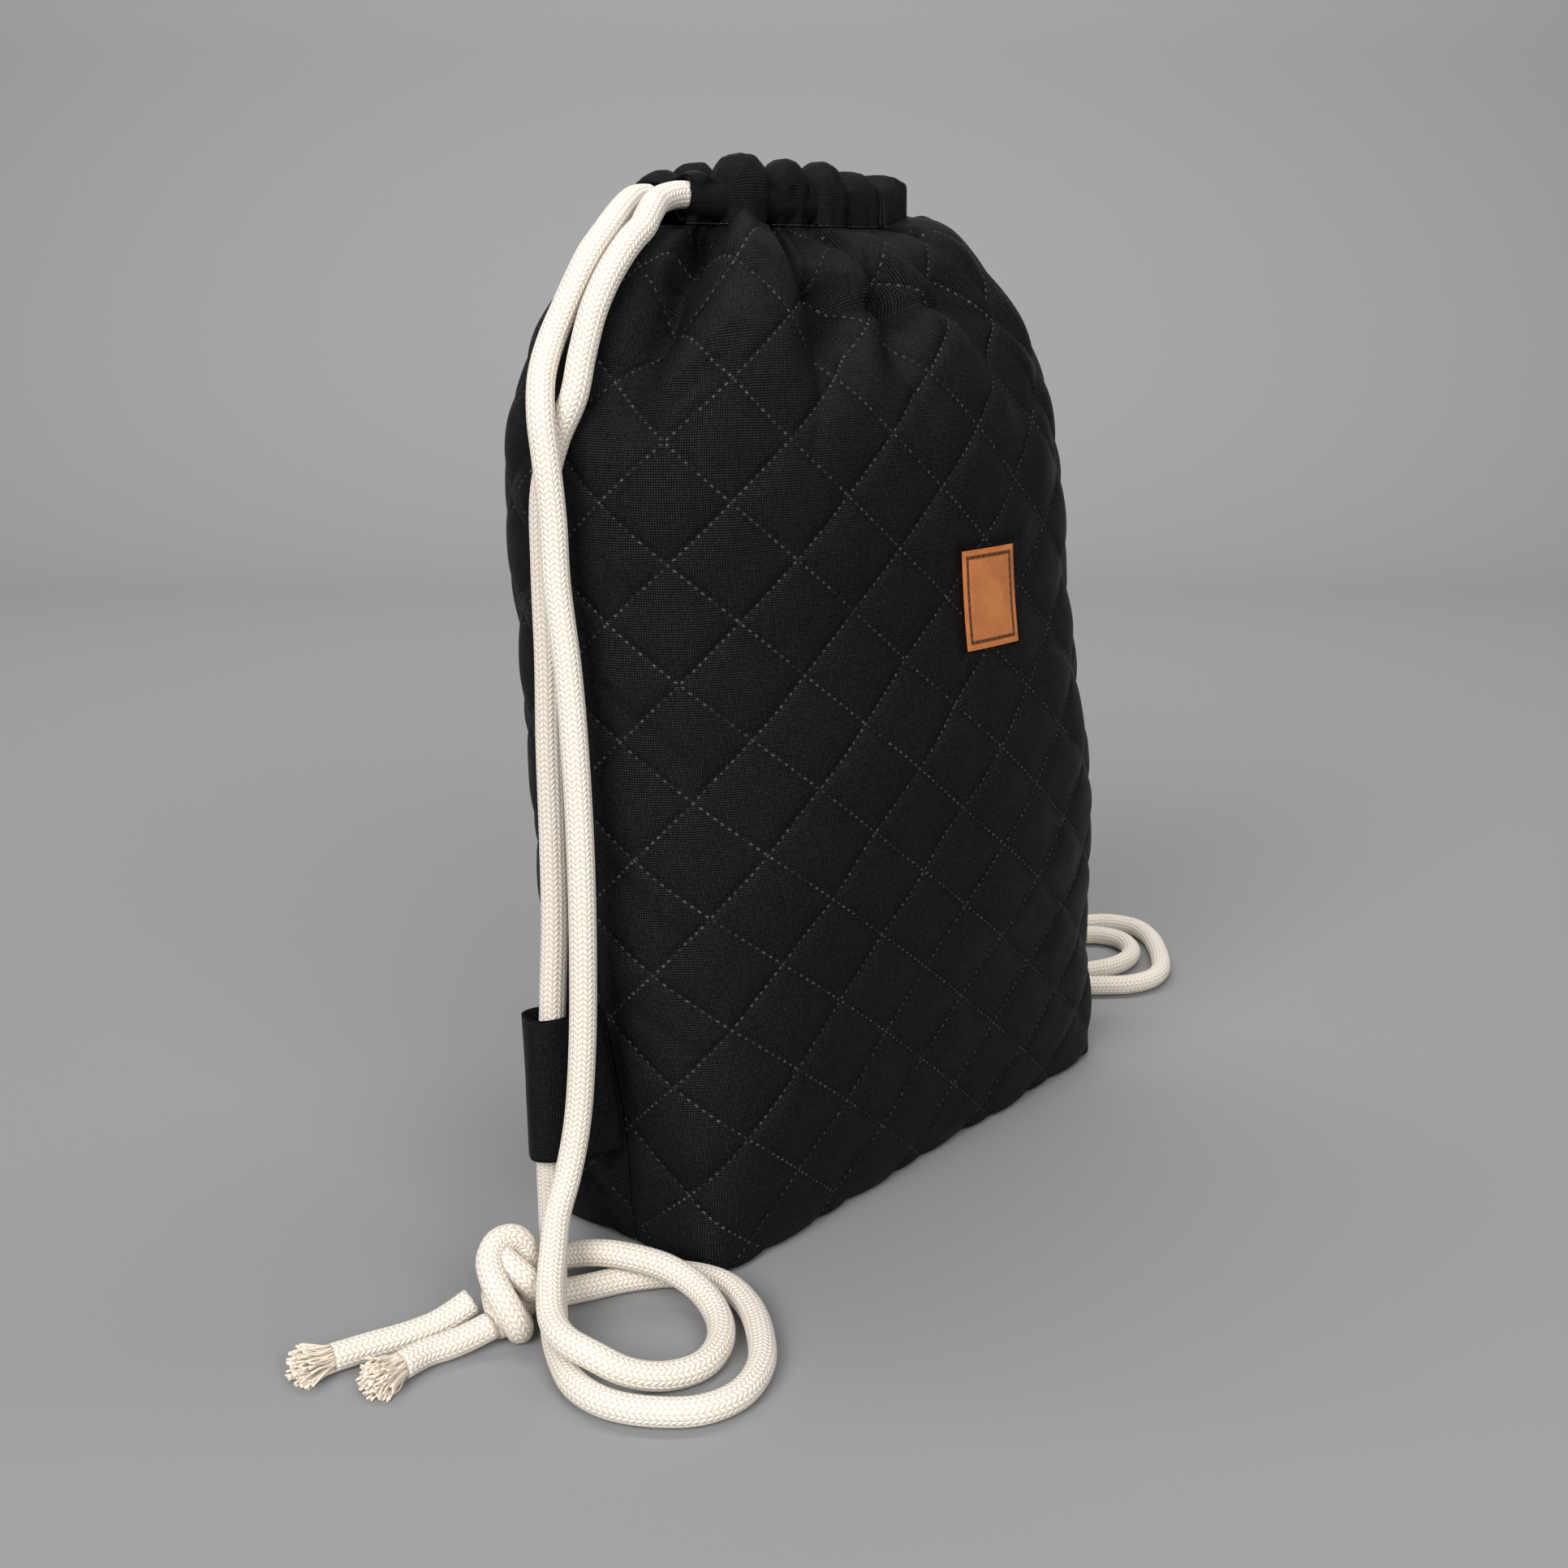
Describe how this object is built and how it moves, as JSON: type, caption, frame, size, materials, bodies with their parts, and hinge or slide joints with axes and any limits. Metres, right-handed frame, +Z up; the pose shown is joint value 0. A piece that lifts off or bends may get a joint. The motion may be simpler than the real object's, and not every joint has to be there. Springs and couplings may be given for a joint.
{
  "type": "quilted drawstring backpack",
  "caption": "Quilted drawstring backpack in black cloth with gathered cord tunnels, cotton rope shoulder straps through side tabs, knotted frayed ends and a leather label.",
  "frame": {"origin": "middle of the base's long side-to-side line, on the surface the bag stands on", "axes": "+Z up, +X towards the right side seam, the front panel with the label faces -Y"},
  "size_m": [0.5899, 0.2254, 0.4103],
  "materials": {
    "quilted_cloth": "quilted woven nylon, matt with a slight sheen",
    "plain_cloth": "plain woven nylon, matt",
    "cotton_cord": "herringbone braid, matt",
    "tan_leather": "smooth with a soft sheen"
  },
  "bodies": {
    "root": {"front_panel": "quilted_cloth", "back_panel": "quilted_cloth", "front_tunnel": "plain_cloth", "back_tunnel": "plain_cloth", "left_tab": "plain_cloth", "right_tab": "plain_cloth", "label": "tan_leather", "left_front_strand": "cotton_cord", "left_back_strand": "cotton_cord", "right_front_strand": "cotton_cord", "right_back_strand": "cotton_cord", "front_tunnel_cord": "cotton_cord", "back_tunnel_cord": "cotton_cord", "left_long_tail": "cotton_cord", "left_short_tail": "cotton_cord", "right_long_tail": "cotton_cord", "right_short_tail": "cotton_cord", "left_long_tail_fray": "cotton_cord", "left_short_tail_fray": "cotton_cord", "right_long_tail_fray": "cotton_cord", "right_short_tail_fray": "cotton_cord", "left_knot": "cotton_cord", "right_knot": "cotton_cord"}
  },
  "joints": []
}
